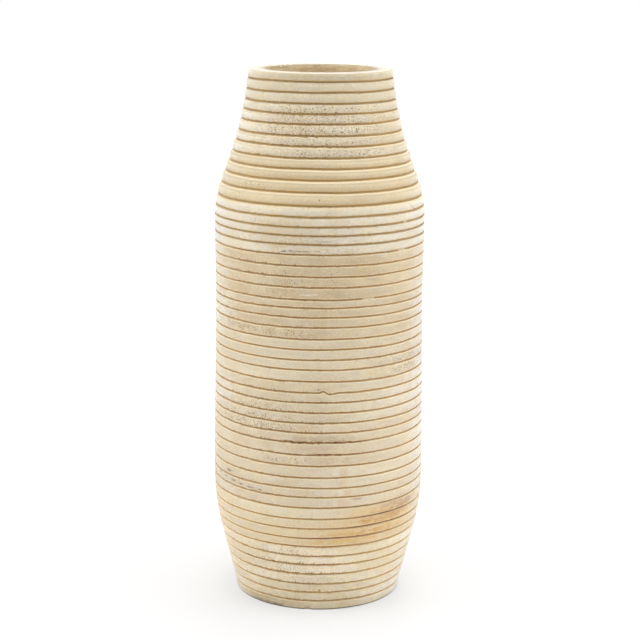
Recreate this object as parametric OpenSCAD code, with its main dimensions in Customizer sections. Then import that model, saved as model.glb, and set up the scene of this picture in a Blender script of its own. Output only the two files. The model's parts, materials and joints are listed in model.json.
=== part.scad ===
// Turned wooden vase. The blank is glued up from flat boards, bored from above and turned
// with close grooves, so that every glue line lies hidden in a groove.

/* [Height and diameters] */
// Height from the resting face to the rim
vase_h = 400; // [360:5:480]
// Diameter of the foot, where the vase rests
foot_d = 125; // [105:0.5:140]
// Diameter at the hip, on the taper above the foot
hip_d = 152; // [142:0.5:158]
// Diameter of the belly at its widest
belly_d = 160; // [154:1:180]
// Diameter of the slight waist above the belly
waist_d = 157; // [140:1:165]
// Diameter at the shoulder
shoulder_d = 158; // [145:1:170]
// Diameter half way up the neck
neck_d = 135; // [120:0.5:144]
// Diameter of the rim
rim_d = 107; // [100:0.5:125]

/* [Heights of the outline] */
// Height of the hip
hip_z = 56; // [40:1:75]
// Height of the widest place of the belly
belly_z = 100; // [85:1:140]
// Height of the waist
waist_z = 234; // [180:1:260]
// Height of the shoulder
shoulder_z = 292; // [275:1:310]
// Height at which the neck is measured
neck_z = 335; // [325:1:345]

/* [Leans in degrees] */
// Outward lean of the wall at the foot
foot_lean = 11.5; // [6:0.5:16]
// Outward lean of the wall at the hip
hip_lean = 12; // [6:0.5:16]
// Inward lean of the wall at the neck
neck_lean = 19; // [14:0.5:24]
// Inward lean of the wall at the rim
rim_lean = 6.5; // [0:0.5:12]

/* [Well for the stems] */
// Diameter of the bored well
bore_d = 83; // [60:1:88]
// Thickness of the closed floor under the well
floor_t = 15; // [8:1:30]
// Rounding of the well's edge at the mouth
mouth_edge_r = 0.8; // [0.2:0.1:3]

/* [Grooves and ribs] */
// Width of a groove between its walls
groove_w = 1.2; // [0.8:0.1:2.2]
// Depth of a groove
groove_depth = 1.8; // [1.5:0.1:3]
// Rounding of each rib's edges where the body is upright
rib_edge_r = 0.5; // [0.3:0.1:1.2]
// Extra rounding of a rib's sharper edge, as a share of the rib's taper
edge_wear_share = 0.4; // [0:0.05:0.8]
// How far the middle of a rib stands out where the body is upright
rib_crown = 0.1; // [0:0.05:0.8]
// Extra standing out of a rib that narrows upwards, as a share of its taper
taper_crown_share = 0.25; // [0:0.05:0.4]
// Rounding around the foot and the rim
end_edge_r = 0.8; // [0.4:0.1:2.4]

/* [Hidden] */

// Each row is one board, from the base up, and holds the heights of its ribs, the lowest
// first, as shares of the mean rib. They are uneven, as the grooves were set by eye.
rib_h_shares = [
    [1.00, 0.95, 0.95],
    [1.10, 1.05, 0.95, 1.05],
    [0.90, 1.00, 1.00, 1.15],
    [1.05, 0.90, 1.05, 1.15],
    [1.10, 1.20, 0.95, 0.95],
    [1.00, 1.00, 0.95, 1.05],
    [1.15, 0.95, 1.00, 1.00],
    [1.10, 0.95, 0.90, 0.80],
    [1.15, 1.00, 1.05, 1.05],
    [0.95, 0.85, 0.80, 0.90, 1.00],
    [1.20, 1.10, 1.00, 0.95],
    [1.05, 0.95, 1.05, 0.95],
    [0.95, 1.00, 1.00, 0.80]
];

// Outline of the turned body: height, radius and slope of the wall at each place
outline = [
    [0, foot_d / 2, tan(foot_lean)],
    [hip_z, hip_d / 2, tan(hip_lean)],
    [belly_z, belly_d / 2, 0],
    [waist_z, waist_d / 2, 0],
    [shoulder_z, shoulder_d / 2, 0],
    [neck_z, neck_d / 2, -tan(neck_lean)],
    [vase_h, rim_d / 2, -tan(rim_lean)]
];

// Fineness of round edges, of a rib's crown and of the well
edge_steps = 4;
crown_steps = 4;
bore_fn = 128;
// Length by which a cut runs past the face that it opens
overrun = mouth_edge_r;

// Sum of the first n numbers of a list
function sum_to(list, n) = n == 0 ? 0 : list[n - 1] + sum_to(list, n - 1);
function total(list) = sum_to(list, len(list));

board_count = len(rib_h_shares);
board_shares = [for (row = rib_h_shares) total(row)];
// Height that a share of 1 stands for
mean_rib_h = vase_h / total(board_shares);

// Height of a board's lower face, and of the lower end of one of its ribs
function board_z(board) = mean_rib_h * sum_to(board_shares, board);
function rib_z(board, rib) = board_z(board) + mean_rib_h * sum_to(rib_h_shares[board], rib);

// Radius between two places of the outline, as a smooth cubic
function blend_r(z, a, b) =
    let (span = b[0] - a[0], t = (z - a[0]) / span)
    (2 * pow(t, 3) - 3 * pow(t, 2) + 1) * a[1]
        + (pow(t, 3) - 2 * pow(t, 2) + t) * span * a[2]
        + (3 * pow(t, 2) - 2 * pow(t, 3)) * b[1]
        + (pow(t, 3) - pow(t, 2)) * span * b[2];

// Radius of the turned body at a height, before the grooves are cut
function body_r(z) =
    let (
        inner_places = [for (i = [1 : len(outline) - 2]) if (z >= outline[i][0]) i],
        place = len(inner_places) == 0 ? 0 : max(inner_places)
    )
    blend_r(z, outline[place], outline[place + 1]);

// Angles from 0 to 90 degrees in even steps
quarter_turn = [for (i = [0 : edge_steps]) 90 * i / edge_steps];

// Half a groove, from its bottom out to the rib's face, as pairs of depth and rise
function groove_half(edge_r) = concat(
    [for (a = quarter_turn) [
        groove_depth - groove_w / 2 * (1 - cos(a)),
        groove_w / 2 * sin(a)
    ]],
    [for (a = quarter_turn) [
        edge_r * (1 - sin(a)),
        groove_w / 2 + edge_r * (1 - cos(a))
    ]]
);

// The most that an edge can be rounded, with a share of the groove's wall left flat
flat_wall_share = 0.06;
most_worn_r = (1 - flat_wall_share) * (groove_depth - groove_w / 2);

// Rounding of a rib's edge at one height, where its other edge is at another: sanding wears
// the edge more that stands out further
function worn_edge_r(z, other_z) =
    let (taper = body_r(z) - body_r(other_z))
    min(rib_edge_r + edge_wear_share * max(0, taper), most_worn_r);

// The rounded edge around the foot or the rim, in the same form
end_edge = [for (a = quarter_turn) [
    end_edge_r * (1 - sin(a)),
    end_edge_r * (1 - cos(a))
]];

// How far the middle of a rib between two heights stands out
function crown_of(low, high) =
    rib_crown + taper_crown_share * max(0, body_r(low) - body_r(high));

// Outline points of one rib, from its lower end to its upper end
function rib_points(low, high, low_edge, high_edge) =
    let (
        face_low = low + low_edge[len(low_edge) - 1][1],
        face_high = high - high_edge[len(high_edge) - 1][1],
        crown = crown_of(low, high)
    )
    concat(
        [for (p = low_edge) [body_r(low + p[1]) - p[0], low + p[1]]],
        [for (i = [1 : crown_steps - 1])
            let (t = i / crown_steps, z = face_low + t * (face_high - face_low))
            [body_r(z) + crown * (1 - pow(2 * t - 1, 2)), z]
        ],
        [for (i = [len(high_edge) - 1 : -1 : 0])
            let (p = high_edge[i])
            [body_r(high - p[1]) - p[0], high - p[1]]
        ]
    );

// Outline points of a whole board, one rib after another
function board_points(board) =
    let (last_rib = len(rib_h_shares[board]) - 1)
    [for (rib = [0 : last_rib])
        let (low = rib_z(board, rib), high = rib_z(board, rib + 1))
        each rib_points(
            low,
            high,
            board == 0 && rib == 0 ? end_edge : groove_half(worn_edge_r(low, high)),
            board == board_count - 1 && rib == last_rib
                ? end_edge : groove_half(worn_edge_r(high, low))
        )
    ];

// A board as turned, before it is bored
module turned_board(board) {
    rotate_extrude($fn = bore_fn)
        polygon(concat(
            board_points(board),
            [[0, board_z(board + 1)], [0, board_z(board)]]
        ));
}

// What the boring removes: the straight well, and the rounding of its edge at the mouth
module well() {
    translate([0, 0, floor_t])
        cylinder(d = bore_d, h = vase_h - floor_t + overrun, $fn = bore_fn);
}

module mouth_rounding() {
    rotate_extrude($fn = bore_fn)
        polygon(concat(
            [for (a = quarter_turn) [
                bore_d / 2 + mouth_edge_r * (1 - cos(a)),
                vase_h - mouth_edge_r * (1 - sin(a))
            ]],
            [[0, vase_h + overrun], [0, vase_h - mouth_edge_r]]
        ));
}

// A board with its part of the well
module bored_board(board) {
    difference() {
        turned_board(board);
        well();
    }
}

module base_board() {
    color([0.89, 0.82, 0.69]) bored_board(0);
}

module foot_ring_lower() {
    color([0.89, 0.81, 0.66]) bored_board(1);
}

module foot_ring_upper() {
    color([0.88, 0.76, 0.60]) bored_board(2);
}

module belly_ring_1() {
    color([0.87, 0.80, 0.68]) bored_board(3);
}

module belly_ring_2() {
    color([0.87, 0.79, 0.66]) bored_board(4);
}

module belly_ring_3() {
    color([0.86, 0.80, 0.69]) bored_board(5);
}

module belly_ring_4() {
    color([0.87, 0.81, 0.70]) bored_board(6);
}

module belly_ring_5() {
    color([0.84, 0.78, 0.67]) bored_board(7);
}

module belly_ring_6() {
    color([0.85, 0.77, 0.64]) bored_board(8);
}

module shoulder_ring_lower() {
    color([0.84, 0.77, 0.64]) bored_board(9);
}

module shoulder_ring_upper() {
    color([0.84, 0.76, 0.62]) bored_board(10);
}

module neck_ring() {
    color([0.81, 0.74, 0.62]) bored_board(11);
}

module rim_ring() {
    color([0.82, 0.76, 0.65])
        difference() {
            turned_board(12);
            well();
            mouth_rounding();
        }
}

base_board();
foot_ring_lower();
foot_ring_upper();
belly_ring_1();
belly_ring_2();
belly_ring_3();
belly_ring_4();
belly_ring_5();
belly_ring_6();
shoulder_ring_lower();
shoulder_ring_upper();
neck_ring();
rim_ring();
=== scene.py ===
"""Looks of a turned wooden vase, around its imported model.

Each board of the glued blank is replaced by a finer mesh of the same turned outline, with
uneven groove edges, chips and torn grain, and gets a solid wood material of its own, whose
fibres run in that board's own direction. Lengths are in metres, and azimuths in degrees,
from the front (-Y) towards the right (+X).
"""

import json
import math

import bpy
import numpy as np
from mathutils import Matrix, Vector


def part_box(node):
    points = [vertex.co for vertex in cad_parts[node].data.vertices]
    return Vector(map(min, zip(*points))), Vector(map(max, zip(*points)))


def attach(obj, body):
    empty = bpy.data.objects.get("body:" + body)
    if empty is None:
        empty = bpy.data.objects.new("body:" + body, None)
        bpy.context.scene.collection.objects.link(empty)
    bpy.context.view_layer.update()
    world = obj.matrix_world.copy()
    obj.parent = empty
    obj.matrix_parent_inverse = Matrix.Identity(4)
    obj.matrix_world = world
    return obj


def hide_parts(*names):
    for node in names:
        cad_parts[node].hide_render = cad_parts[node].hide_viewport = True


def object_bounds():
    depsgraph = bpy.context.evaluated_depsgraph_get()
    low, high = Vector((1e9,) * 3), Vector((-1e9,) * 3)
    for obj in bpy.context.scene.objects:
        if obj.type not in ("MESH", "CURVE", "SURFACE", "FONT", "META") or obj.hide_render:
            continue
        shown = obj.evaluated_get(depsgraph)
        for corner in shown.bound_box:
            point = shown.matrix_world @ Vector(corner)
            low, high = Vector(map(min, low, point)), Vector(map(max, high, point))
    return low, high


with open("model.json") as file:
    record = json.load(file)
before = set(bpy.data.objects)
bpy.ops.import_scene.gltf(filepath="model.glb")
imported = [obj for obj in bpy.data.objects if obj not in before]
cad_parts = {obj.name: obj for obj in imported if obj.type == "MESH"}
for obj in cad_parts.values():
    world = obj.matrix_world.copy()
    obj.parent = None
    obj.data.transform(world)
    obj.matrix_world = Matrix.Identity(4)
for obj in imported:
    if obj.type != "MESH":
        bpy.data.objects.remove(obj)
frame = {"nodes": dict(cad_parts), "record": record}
cad_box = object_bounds()

MM = 0.001

# Camera, as fitted to the grooves and edges of the vase in the photograph
IMAGE_WIDTH_PX = 640
FOCAL_LENGTH_PX = 1798.0
SENSOR_WIDTH_MM = 36.0
CAMERA_DISTANCE = 1.339
CAMERA_HEIGHT = 0.4957
CAMERA_SIDE = 0.0007
CAMERA_PITCH = 12.064
CAMERA_ROLL = 0.38

# Fineness of the turned meshes
AZIMUTH_STEPS = 640
LONGEST_STEP = 1.5 * MM
EDGE_STEP = 0.5 * MM
BORE_STEP = 3.0 * MM

# Sizes of what a turner's tool and torn grain leave behind
GROOVE_DEPTH = 1.8 * MM
GROOVE_HALF_WIDTH = 0.6 * MM
EDGE_REACH = 1.8 * MM
LIP_REACH = 2.2 * MM
CREST_REACH = 2.0 * MM
GROOVE_WANDER = 0.09 * MM
EDGE_WANDER = 0.09 * MM
FACE_RIPPLE = 0.05 * MM
CHIP_DEPTH = 0.55 * MM
OUT_OF_ROUND = 0.10 * MM
BORE_RIPPLE = 0.12 * MM

# Each board from the base up: the azimuth that one end of its fibres faces, how open the
# pores are there, how ragged its groove edges are, and its pale and its deep colour
BOARDS = {
    "base_board": dict(
        end_grain=-12, pores=0.9, ragged=1.0, pale=(243, 229, 201), deep=(216, 196, 157)),
    "foot_ring_lower": dict(
        end_grain=-20, pores=0.9, ragged=1.1, pale=(250, 238, 212), deep=(233, 214, 180)),
    "foot_ring_upper": dict(
        end_grain=75, pores=0.4, ragged=0.6, pale=(237, 221, 190), deep=(220, 196, 156)),
    "belly_ring_1": dict(
        end_grain=-52, pores=0.5, ragged=0.9, pale=(230, 215, 186), deep=(212, 190, 156)),
    "belly_ring_2": dict(
        end_grain=-30, pores=0.5, ragged=0.8, pale=(229, 212, 182), deep=(212, 189, 154)),
    "belly_ring_3": dict(
        end_grain=-34, pores=0.8, ragged=1.0, pale=(228, 213, 184), deep=(208, 188, 154)),
    "belly_ring_4": dict(
        end_grain=53, pores=0.8, ragged=0.7, pale=(229, 214, 185), deep=(210, 190, 156)),
    "belly_ring_5": dict(
        end_grain=-36, pores=0.7, ragged=0.8, pale=(221, 203, 170), deep=(200, 176, 140)),
    "belly_ring_6": dict(
        end_grain=-5, pores=0.5, ragged=0.8, pale=(221, 202, 167), deep=(198, 173, 135)),
    "shoulder_ring_lower": dict(
        end_grain=8, pores=0.4, ragged=0.7, pale=(234, 223, 200), deep=(216, 202, 175)),
    "shoulder_ring_upper": dict(
        end_grain=80, pores=0.4, ragged=0.5, pale=(225, 207, 172), deep=(205, 181, 141)),
    "neck_ring": dict(
        end_grain=-23, pores=1.3, ragged=1.2, pale=(228, 215, 189), deep=(211, 195, 167)),
    "rim_ring": dict(
        end_grain=-58, pores=0.6, ragged=0.6, pale=(225, 212, 183), deep=(203, 187, 155)),
}
SLOT_OF = {row["node"]: row["material_slot"] for row in frame["record"]["subparts"]}
# Colours in the grooves, darker with depth, partly wood darkened by the tool and partly painted
# shade; at the edges above them that face down (lip), painted shade; on the ribs' faces along those
# edges (edge) and under the grooves (crest), painted highlights, though the neck's edge colour is
# painted shade; of faces that lean up (up_shade), painted shade against the light from above; all
# three with how much they show, and of the teeth that fibres fray into along the edges, and how
# deep in a groove the painted highlight on its upward edge starts (ledge), in each kind of wood
GROOVE_LOOKS = {
    "foot_wood": dict(
        groove=(190, 154, 94), lip=(218, 184, 122), edge=(252, 232, 188), edge_share=0.75,
        crest=(250, 234, 194), crest_share=0.55, up_shade=(210, 194, 160), up_shade_share=0.0,
        teeth=(116, 72, 22), ledge=0.01, sheen=0.35),
    "belly_wood": dict(
        groove=(184, 144, 82), lip=(212, 178, 120), edge=(244, 222, 180), edge_share=0.60,
        crest=(250, 236, 198), crest_share=0.60, up_shade=(210, 194, 160), up_shade_share=0.0,
        teeth=(118, 76, 26), ledge=0.01, sheen=0.65),
    "neck_wood": dict(
        groove=(186, 154, 94), lip=(206, 172, 106), edge=(206, 178, 130), edge_share=0.50,
        crest=(226, 208, 168), crest_share=0.20, up_shade=(180, 165, 136), up_shade_share=0.68,
        teeth=(124, 94, 50), ledge=0.16, sheen=0.55),
}
BOXES = {name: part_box(name) for name in BOARDS}

# Colours of blotches, pores, pits and torn places, of the painted highlight on the grooves'
# up-facing walls (ledge), of grime and painted contact shade at the foot's bottom edge, of the
# painted shade on the rim's level top, and of the well with the painted shade at its mouth, in
# every kind of wood
CREAM_BLOTCH = (238, 220, 176)
TAN_BLOTCH = (202, 176, 138)
GREY_CLOUD = (204, 194, 172)
PORE_COLOUR = (110, 84, 44)
FINE_PORE_COLOUR = (150, 124, 82)
SPECK_COLOUR = (246, 238, 220)
PIT_COLOUR = (132, 114, 92)
LEDGE_HIGHLIGHT = (248, 230, 190)
TORN_COLOUR = (206, 182, 140)
GRIME_AND_CONTACT_SHADE = (64, 52, 36)
RIM_TOP_SHADE = dict(inner=(140, 127, 100), outer=(188, 176, 150))
# The well's pale and deep bored wood, and the painted shade on its up-facing mouth and floor
# (mouth)
WELL_COLOURS = dict(pale=(240, 220, 182), deep=(206, 180, 138), mouth=(140, 126, 98))

# Growth rings, the grime and painted contact shade along the foot's bottom edge, and the painted
# shade on the level rim, from the well out
RING_SPACING = 7.5 * MM
RING_SWAY = 4.0 * MM
GRIME_AND_SHADE_TOP = 1.5 * MM
GRIME_AND_SHADE_FULL = 0.6 * MM
RIM_SHADE_START = 1.5 * MM
RIM_SHADE_END = 8.5 * MM

# Relief that shows as bump only
PORE_DEPTH = 0.14 * MM
FINE_PORE_DEPTH = 0.05 * MM
SPECKLE_HEIGHT = 0.02 * MM
FIBRE_HEIGHT = 0.012 * MM
LINE_HEIGHT = 0.012 * MM
BORED_HEIGHT = 0.25 * MM


def linear(colour):
    """The linear colour of three sRGB values from 0 to 255."""
    parts = [c / 255 for c in colour]
    return [c / 12.92 if c <= 0.04045 else ((c + 0.055) / 1.055) ** 2.4 for c in parts]


# Noise that closes on itself around the vase


def ring_noise(seed, rows, wavelength, radius):
    """Rows of smooth noise around the vase, with unit spread and features of a wavelength."""
    rng = np.random.default_rng(seed)
    spectrum = np.fft.rfft(rng.standard_normal((rows, AZIMUTH_STEPS)), axis=1)
    turns = np.arange(spectrum.shape[1])
    most_turns = 2 * math.pi * radius / wavelength
    noise = np.fft.irfft(spectrum * np.exp(-((turns / most_turns) ** 2)), AZIMUTH_STEPS, axis=1)
    noise -= noise.mean(axis=1, keepdims=True)
    return noise / max(noise.std(), 1e-9)


def sheet_noise(seed, heights, wavelength, radius):
    """Noise over a turned face, for each of its heights all around."""
    rng = np.random.default_rng(seed)
    low, high = heights.min(), heights.max()
    knots = np.arange(low - wavelength, high + 2 * wavelength, wavelength / 2)
    rows = ring_noise(rng.integers(1 << 30), len(knots), wavelength, radius)
    place = (heights - knots[0]) / (wavelength / 2)
    below = np.floor(place).astype(int)
    part = place - below
    part = (part * part * (3 - 2 * part))[:, None]
    return rows[below] * (1 - part) + rows[below + 1] * part


def smooth_step(low, high, value):
    t = np.clip((value - low) / (high - low), 0, 1)
    return t * t * (3 - 2 * t)


# The turned outline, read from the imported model


def radii_and_heights(name):
    """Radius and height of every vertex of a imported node."""
    vertices = frame["nodes"][name].data.vertices
    points = np.empty(3 * len(vertices), np.float32)
    vertices.foreach_get("co", points)
    points = points.reshape(-1, 3).astype(float)
    return np.hypot(points[:, 0], points[:, 1]), points[:, 2]


def bore_radius(name):
    """Radius of the well, which every ring shares."""
    return float(radii_and_heights(name)[0].min())


def turned_outline(name, bore):
    """Radius and height of the outer outline of a board, from its lower face up."""
    radii, heights = radii_and_heights(name)
    outer = radii > bore + 4 * MM
    pairs = np.unique(np.round(np.stack([heights[outer], radii[outer]], 1), 6), axis=0)
    outline = []
    for height in np.unique(pairs[:, 0]):
        here = sorted(pairs[pairs[:, 0] == height, 1])
        ends = [here[0]] if here[-1] - here[0] < 0.02 * MM else [here[0], here[-1]]
        if outline and abs(outline[-1][0] - ends[-1]) < abs(outline[-1][0] - ends[0]):
            ends.reverse()
        outline += [(radius, height) for radius in ends]
    return np.array(outline)


def even_rings(start, end, step):
    """Points from start to end, both left out, no further apart than step."""
    parts = max(1, math.ceil(np.hypot(*(end - start)) / step))
    return [start + (end - start) * i / parts for i in range(1, parts)]


def finer(outline):
    """The outline with its long steps divided, and a ring more next to the ribs' edges."""
    steps = np.diff(outline, axis=0)
    lengths = np.hypot(*steps.T)
    curved = np.concatenate([[True], lengths < 1.5 * EDGE_STEP, [True]])
    points = [outline[0]]
    for i, (a, b, length) in enumerate(zip(outline[:-1], outline[1:], lengths)):
        unit = (b - a) / length
        inner = []
        if length > 2 * EDGE_STEP and steps[i, 1] > 0:
            inner += [a + unit * EDGE_STEP] if curved[i] else []
            inner += [b - unit * EDGE_STEP] if curved[i + 2] else []
        elif length > LONGEST_STEP:
            inner = even_rings(a, b, LONGEST_STEP)
        points += inner + [b]
    return np.array(points)


def groove_heights(outline):
    """Heights of the grooves, and whether each is at a joint, half on the next board."""
    radii, heights = outline.T
    steps = np.flatnonzero((np.diff(heights) == 0) & (np.abs(np.diff(radii)) > 0.05 * MM))
    walls = [(heights[i], radii[i + 1] < radii[i]) for i in steps]
    found = []
    if not walls[0][1]:
        found.append((heights[0], True))
        walls = walls[1:]
    if walls[-1][1]:
        found.append((heights[-1], True))
        walls = walls[:-1]
    found += [((low + high) / 2, False) for (low, _), (high, _) in zip(walls[::2], walls[1::2])]
    return sorted(found)


def face_radius(outline):
    """Radius that the ribs' faces would have at each point if no groove were cut."""
    radii, heights = outline.T
    cuts = [height for height, _ in groove_heights(outline)]
    cuts = sorted(set(cuts + [heights[0], heights[-1]]))
    middles, crowns = [], []
    for low, high in zip(cuts[:-1], cuts[1:]):
        rib = (heights > low) & (heights < high)
        middles.append((low + high) / 2)
        crowns.append(np.interp((low + high) / 2, heights[rib], radii[rib]))
    slope_low = (crowns[1] - crowns[0]) / (middles[1] - middles[0])
    slope_high = (crowns[-1] - crowns[-2]) / (middles[-1] - middles[-2])
    middles = [heights[0]] + middles + [heights[-1]]
    crowns = (
        [crowns[0] - slope_low * (middles[1] - heights[0])]
        + crowns
        + [crowns[-1] + slope_high * (heights[-1] - middles[-2])]
    )
    return np.interp(heights, middles, crowns)


AZIMUTHS = np.arange(AZIMUTH_STEPS) * 360 / AZIMUTH_STEPS


def around(azimuth, half_width):
    """1 at an azimuth, falling to 0 past its half width on both sides."""
    off = (AZIMUTHS - azimuth + 180) % 360 - 180
    return 1 - smooth_step(0.6, 1.4, np.abs(off) / half_width)


def end_grain(look):
    """How squarely the fibres meet the surface, from 0 to 1, all around."""
    return np.abs(np.cos(np.radians(AZIMUTHS - look["end_grain"])))


# Places where the photograph shows more than the usual wear
WAVES = [
    dict(height=0.1719, azimuth=5, half_width=4, size=0.45 * MM),
    dict(height=0.1493, azimuth=2, half_width=3, size=0.20 * MM),
]
TEARS = [
    dict(height=0.1348, azimuth=0, half_width=20, size=0.35 * MM),
    dict(height=0.1256, azimuth=6, half_width=6, size=0.40 * MM),
    dict(height=0.1013, azimuth=-81, half_width=3, size=1.00 * MM),
    dict(height=0.0308, azimuth=-20, half_width=14, size=0.25 * MM),
    dict(height=0.3712, azimuth=-10, half_width=26, size=0.20 * MM),
    dict(height=0.3558, azimuth=-18, half_width=20, size=0.20 * MM),
]
FILLS = [
    dict(height=0.2732, azimuth=50, half_width=3.0),
    dict(height=0.2402, azimuth=27, half_width=3.8),
    dict(height=0.2932, azimuth=52.3, half_width=1.2),
]
NICKS = [
    dict(height=0.0015, azimuth=-6.6, half_width=2.0, half_height=2.0 * MM, size=1.1 * MM),
    dict(height=0.1015, azimuth=-82, half_width=2.4, half_height=1.6 * MM, size=1.0 * MM),
    dict(height=0.3983, azimuth=-104, half_width=2.0, half_height=1.8 * MM, size=0.6 * MM),
]
# How near a place has to be to a groove to be at it
SAME_GROOVE = 1.5 * MM


def close_to(places, height):
    return [p for p in places if abs(p["height"] - height) < SAME_GROOVE]


def shaped_wall(outline, look, seed):
    """The outer wall with its uneven grooves, torn edges and nicks: radii, heights, and
    marks of how deep each point lies in a groove, how close above one (lip), how close below
    one (crest), and how torn it is."""
    rest_radii, rest_heights = outline.T
    face = face_radius(outline)
    radius = float(rest_radii.max())
    shift = np.zeros((len(outline), AZIMUTH_STEPS))
    inward = np.zeros_like(shift)
    torn = np.zeros_like(shift)
    filled = np.zeros_like(shift)
    lip, crest = np.zeros((2, len(outline)))
    ends = end_grain(look) ** 2
    for height, at_joint in groove_heights(outline):
        rng_seed = int(round(height / MM * 100))
        wander, short_a, long_a, chip_a = (
            ring_noise(rng_seed + i, 1, wave * MM, radius)[0]
            for i, wave in enumerate((45, 3.0, 9, 2.2))
        )
        short_b, long_b, chip_b = (
            ring_noise(rng_seed + 10 + i, 1, wave * MM, radius)[0]
            for i, wave in enumerate((3.0, 9, 2.2))
        )
        wander = wander * GROOVE_WANDER
        for wave in close_to(WAVES, height):
            ripple = ring_noise(rng_seed + 20, 1, 7 * MM, radius)[0]
            wander = wander + ripple * wave["size"] * around(wave["azimuth"], wave["half_width"])
        above = rest_heights - height
        distance = np.abs(above)
        outside = distance - GROOVE_HALF_WIDTH
        lip = np.maximum(lip, (1 - np.clip(outside / LIP_REACH, 0, 1)) * (above > 0))
        crest = np.maximum(crest, (1 - np.clip(outside / CREST_REACH, 0, 1)) * (above < 0))
        fade = 1 - smooth_step(GROOVE_HALF_WIDTH, 2 * EDGE_REACH, distance)
        wall = smooth_step(0, GROOVE_HALF_WIDTH, distance) * fade
        whole = wall if at_joint else fade
        shift += whole[:, None] * wander[None, :]
        roughness = look["ragged"] * (0.45 + 0.9 * ends)
        sides = ((1, short_a, long_a, chip_a), (-1, short_b, long_b, chip_b))
        for side, short, long, chip in sides:
            here = (np.sign(above) == side)
            widen = EDGE_WANDER * roughness * (0.8 * short + 0.6 * long)
            for tear in close_to(TEARS, height):
                extra = around(tear["azimuth"], tear["half_width"]) * tear["size"]
                widen = widen + extra * np.clip(short * 0.6 + 0.4, 0, 1.4)
            widen = np.clip(widen, -0.3 * GROOVE_HALF_WIDTH, None)
            shift += (wall * here)[:, None] * (side * widen)[None, :]
            corner = smooth_step(0.2 * GROOVE_HALF_WIDTH, GROOVE_HALF_WIDTH, distance) * (
                1 - smooth_step(1.3 * GROOVE_HALF_WIDTH, 1.3 * EDGE_REACH, distance))
            bites = np.clip(chip - 1.9 + 0.9 * ends * look["ragged"], 0, 1)
            torn_here = (corner * here)[:, None] * bites[None, :]
            inward += CHIP_DEPTH * torn_here
            torn += torn_here
        for fill in close_to(FILLS, height):
            plug = (1 - smooth_step(0.7, 1.4, distance / GROOVE_HALF_WIDTH))[:, None]
            filled = np.maximum(filled, plug * around(fill["azimuth"], fill["half_width"])[None, :])
    ripple = sheet_noise(seed + 1, rest_heights, 5 * MM, radius)
    inward += FACE_RIPPLE * np.clip(0.6 + 0.4 * ripple, 0, 1.6)
    turns = np.radians(AZIMUTHS)
    inward += OUT_OF_ROUND * (1 + np.cos(2 * turns + seed))[None, :] / 2
    for nick in NICKS:
        off = np.abs(rest_heights - nick["height"]) / nick["half_height"]
        place = (1 - smooth_step(0.5, 1.3, off))[:, None]
        place = place * around(nick["azimuth"], nick["half_width"])[None, :]
        inward += nick["size"] * place
        torn += place
    radii = rest_radii[:, None] - inward
    depth = np.clip((face - rest_radii) / GROOVE_DEPTH, 0, 1)[:, None] * np.ones_like(radii)
    level = face[:, None] - 0.25 * GROOVE_DEPTH
    radii = np.where(filled > 0, np.maximum(radii, radii + (level - radii) * filled), radii)
    depth = depth * (1 - filled)
    heights = rest_heights[:, None] + shift
    heights = np.clip(heights, rest_heights[0], rest_heights[-1])
    heights[0], heights[-1] = rest_heights[0], rest_heights[-1]
    lip, crest = (mark[:, None] * np.ones_like(radii) for mark in (lip, crest))
    return radii, heights, dict(groove=depth, lip=lip, crest=crest, torn=np.clip(torn, 0, 1))


# Rounding and tearing of the mouth's edge, radius of the innermost ring of a level face, and
# how near the well's radius a point is taken as on its wall
MOUTH_EDGE = 0.8 * MM
MOUTH_TEAR = 1.0 * MM
POLE_RADIUS = 2.0 * MM
ON_WALL = 0.05 * MM


def shaped_well(name, bore, top_radius, seed):
    """Rings from the top face of a board inwards and down the well: radii, heights and how
    torn they are. The last ring is at the lower face, or round the middle of the floor."""
    low, high = BOXES[name]
    is_rim = name == "rim_ring"
    is_base = name == "base_board"
    floor = floor_height() if is_base else low.z
    edge = MOUTH_EDGE if is_rim else 0
    start = np.array([top_radius, high.z])
    mouth = np.array([bore + edge, high.z])
    points = even_rings(start, mouth, 2.0 * MM) if is_rim else []
    top_count = len(points)
    turns = [0, 30, 60, 90] if is_rim else [0]
    points += [
        np.array([bore + edge * (1 - math.sin(math.radians(t))),
                  high.z - edge * (1 - math.cos(math.radians(t)))])
        for t in turns
    ]
    points += even_rings(points[-1], np.array([bore, floor]), BORE_STEP)
    points.append(np.array([bore, floor]))
    if is_base:
        points += even_rings(points[-1], np.array([POLE_RADIUS, floor]), 3 * BORE_STEP)
        points.append(np.array([POLE_RADIUS, floor]))
    points = np.array(points)
    radii = points[:, :1] * np.ones(AZIMUTH_STEPS)
    heights = points[:, 1:] * np.ones(AZIMUTH_STEPS)
    torn = np.zeros_like(radii)
    inside = np.abs(points[:, 0] - bore) < ON_WALL
    ripple = sheet_noise(seed + 7, -points[:, 1], 4 * MM, bore) * BORE_RIPPLE
    fade = smooth_step(0, 2 * MM, points[:, 1] - floor)
    fade = fade * smooth_step(0, 2 * MM, high.z - points[:, 1])
    radii += ripple * (inside * fade)[:, None]
    if is_rim:
        below = high.z - points[:, 1]
        reach = (1 - smooth_step(0.3 * MM, 2.6 * MM, below)) * smooth_step(
            bore + 4 * MOUTH_EDGE, bore + MOUTH_EDGE, points[:, 0])
        rough = ring_noise(seed + 11, 1, 2.5 * MM, bore)[0]
        bites = np.clip(rough - 2.6 + 2.6 * around(-122, 30), 0, 1.5) / 1.5
        bite = reach[:, None] * bites[None, :]
        radii += 0.7 * MOUTH_TEAR * bite * inside[:, None]
        heights -= MOUTH_TEAR * bite * (points[:, 1:] > high.z - 2 * MOUTH_EDGE)
        torn = np.clip(bite, 0, 1)
        sanded = sheet_noise(seed + 13, points[:, 0], 6 * MM, bore)
        heights[:top_count] -= FACE_RIPPLE * np.clip(1 + 0.5 * sanded[:top_count], 0, 2)
    return radii, heights, torn


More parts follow.
